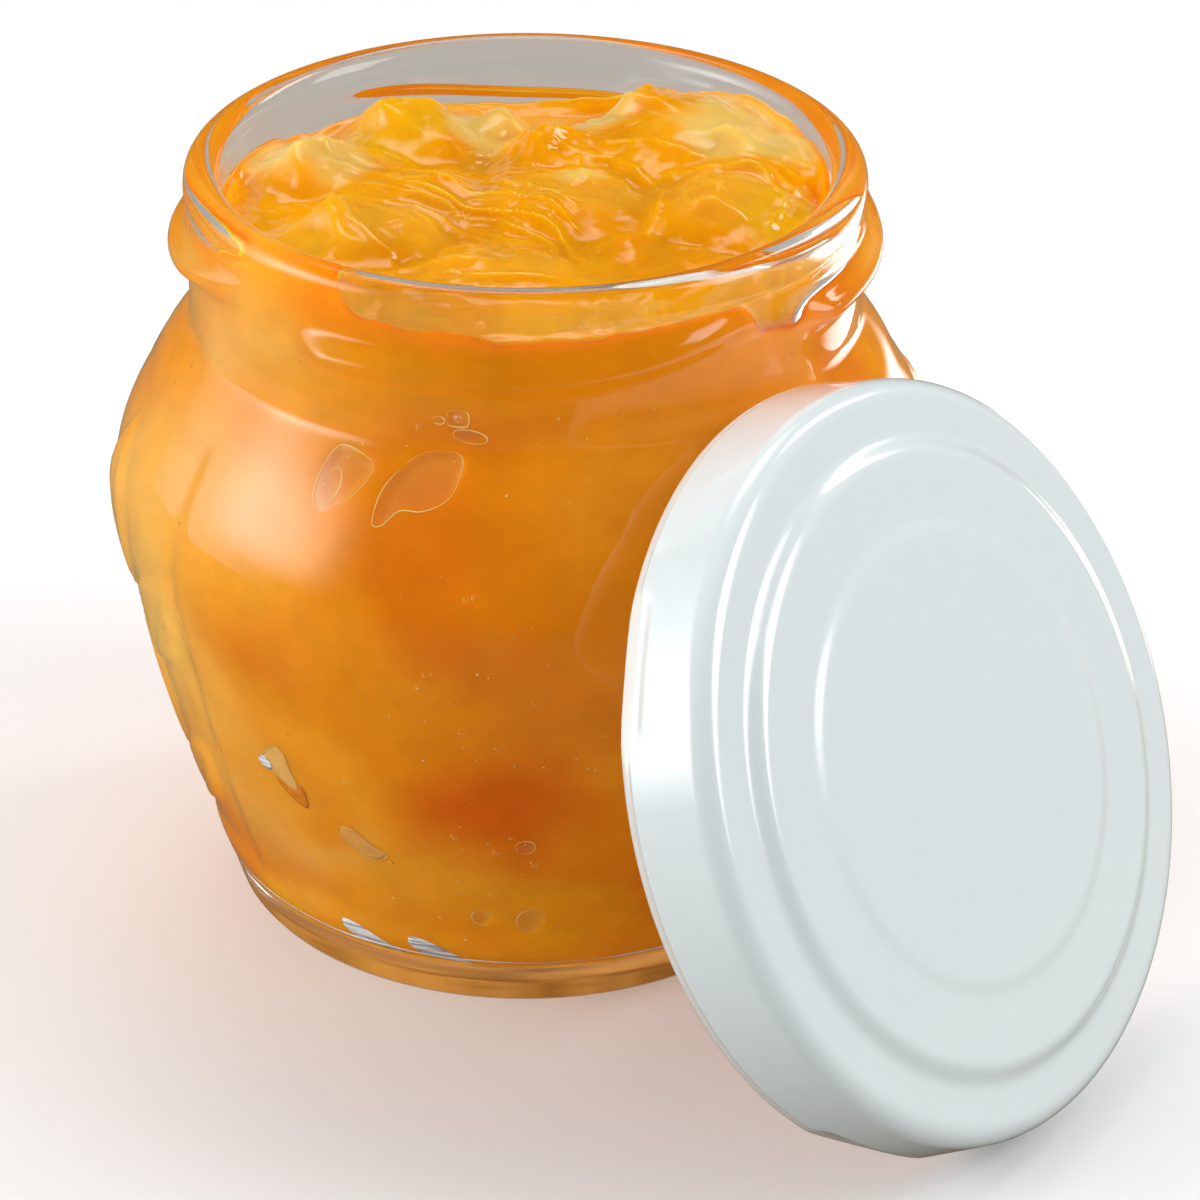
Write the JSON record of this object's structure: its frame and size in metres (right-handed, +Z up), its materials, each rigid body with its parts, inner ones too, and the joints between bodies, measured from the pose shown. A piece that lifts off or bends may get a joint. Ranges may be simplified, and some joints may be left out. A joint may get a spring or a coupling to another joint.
{
  "type": "jam pot",
  "caption": "Squat clear glass jar with a threaded neck, filled with fruit jam, and its white twist-off metal lid with a sealing ring, taken off and leaning on the jar.",
  "frame": {"origin": "centre of the jar's base, on the surface that it stands on", "axes": "+Z up along the jar's axis; the lid leans on the jar from the -Y side, with its tipping axis along X"},
  "size_m": [0.0805, 0.1029, 0.0712],
  "materials": {
    "clear_glass": "clear, polished, with soft relief",
    "jam_gel": "wet, translucent orange gel",
    "fruit_pale": "wet, translucent pale fruit",
    "fruit_yellow": "wet, translucent yellow fruit",
    "fruit_orange": "wet, translucent orange fruit",
    "lid_enamel": "gloss white enamel outside, pale lacquer inside",
    "seal_compound": "soft cream sealing compound"
  },
  "bodies": {
    "jar": {"glass_jar": "clear_glass", "jam_jelly": "jam_gel", "fruit_left_back": "fruit_pale", "fruit_back_left": "fruit_yellow", "fruit_back_middle": "fruit_pale", "fruit_middle_back": "fruit_orange", "fruit_back_right": "fruit_orange", "fruit_right_back": "fruit_pale", "fruit_left_front": "fruit_yellow", "fruit_middle": "fruit_orange", "fruit_right": "fruit_yellow", "fruit_front": "fruit_orange", "fruit_right_front": "fruit_orange", "fruit_wall_upper": "fruit_yellow", "fruit_wall_chip": "fruit_orange", "fruit_wall_slice": "fruit_pale", "fruit_wall_low": "fruit_yellow", "fruit_wall_base": "fruit_yellow"},
    "lid": {"lid_shell": "lid_enamel", "lid_seal": "seal_compound"}
  },
  "joints": [
    {"name": "lid_tip", "type": "hinge", "parent": "jar", "child": "lid", "pos_m": [-0.01, -0.06918, 0], "axis": [1, 0, 0], "range_deg": [0, 116]}
  ]
}
